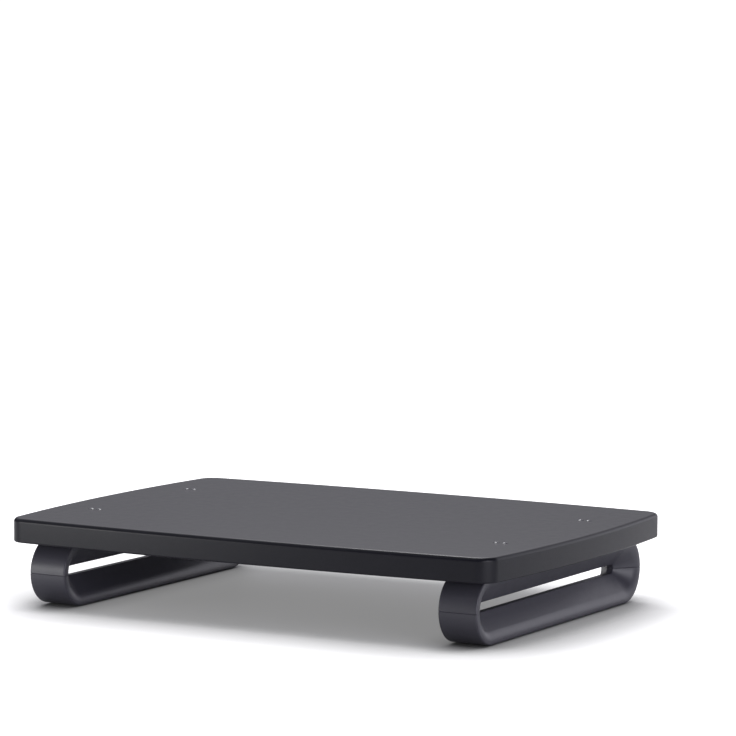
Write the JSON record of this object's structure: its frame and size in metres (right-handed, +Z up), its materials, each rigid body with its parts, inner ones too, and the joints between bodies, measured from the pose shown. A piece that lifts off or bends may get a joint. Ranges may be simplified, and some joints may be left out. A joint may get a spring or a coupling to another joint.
{
  "type": "monitor riser stand",
  "caption": "Low monitor riser: a bowed rectangular platform on two pill-shaped legs with sides that slope in to a slot, each leg in an upper and a lower half, with rubber pads.",
  "frame": {"origin": "on the desk, under the middle of the platform", "axes": "+X to the right across the platform's width, -Y towards the user, +Z up"},
  "size_m": [0.409, 0.29, 0.0663],
  "materials": {
    "platform_plastic": "charcoal moulded plastic with a fine spark-eroded texture",
    "leg_plastic": "dark grey moulded plastic, satin, with a faint texture",
    "pad_rubber": "black rubber, dull"
  },
  "bodies": {
    "platform": {"platform": "platform_plastic"},
    "left_leg_upper": {"left_leg_upper": "leg_plastic"},
    "left_leg_lower": {"left_leg_lower": "leg_plastic", "left_front_pad": "pad_rubber", "left_rear_pad": "pad_rubber"},
    "right_leg_upper": {"right_leg_upper": "leg_plastic"},
    "right_leg_lower": {"right_leg_lower": "leg_plastic", "right_front_pad": "pad_rubber", "right_rear_pad": "pad_rubber"}
  },
  "joints": [
    {"name": "left_leg_pull", "type": "slide", "parent": "platform", "child": "left_leg_upper", "axis": [0, 0, -1], "range_m": [0, 0.02]},
    {"name": "left_foot_pull", "type": "slide", "parent": "left_leg_upper", "child": "left_leg_lower", "axis": [0, 0, -1], "range_m": [0, 0.014]},
    {"name": "right_leg_pull", "type": "slide", "parent": "platform", "child": "right_leg_upper", "axis": [0, 0, -1], "range_m": [0, 0.02]},
    {"name": "right_foot_pull", "type": "slide", "parent": "right_leg_upper", "child": "right_leg_lower", "axis": [0, 0, -1], "range_m": [0, 0.014]}
  ]
}
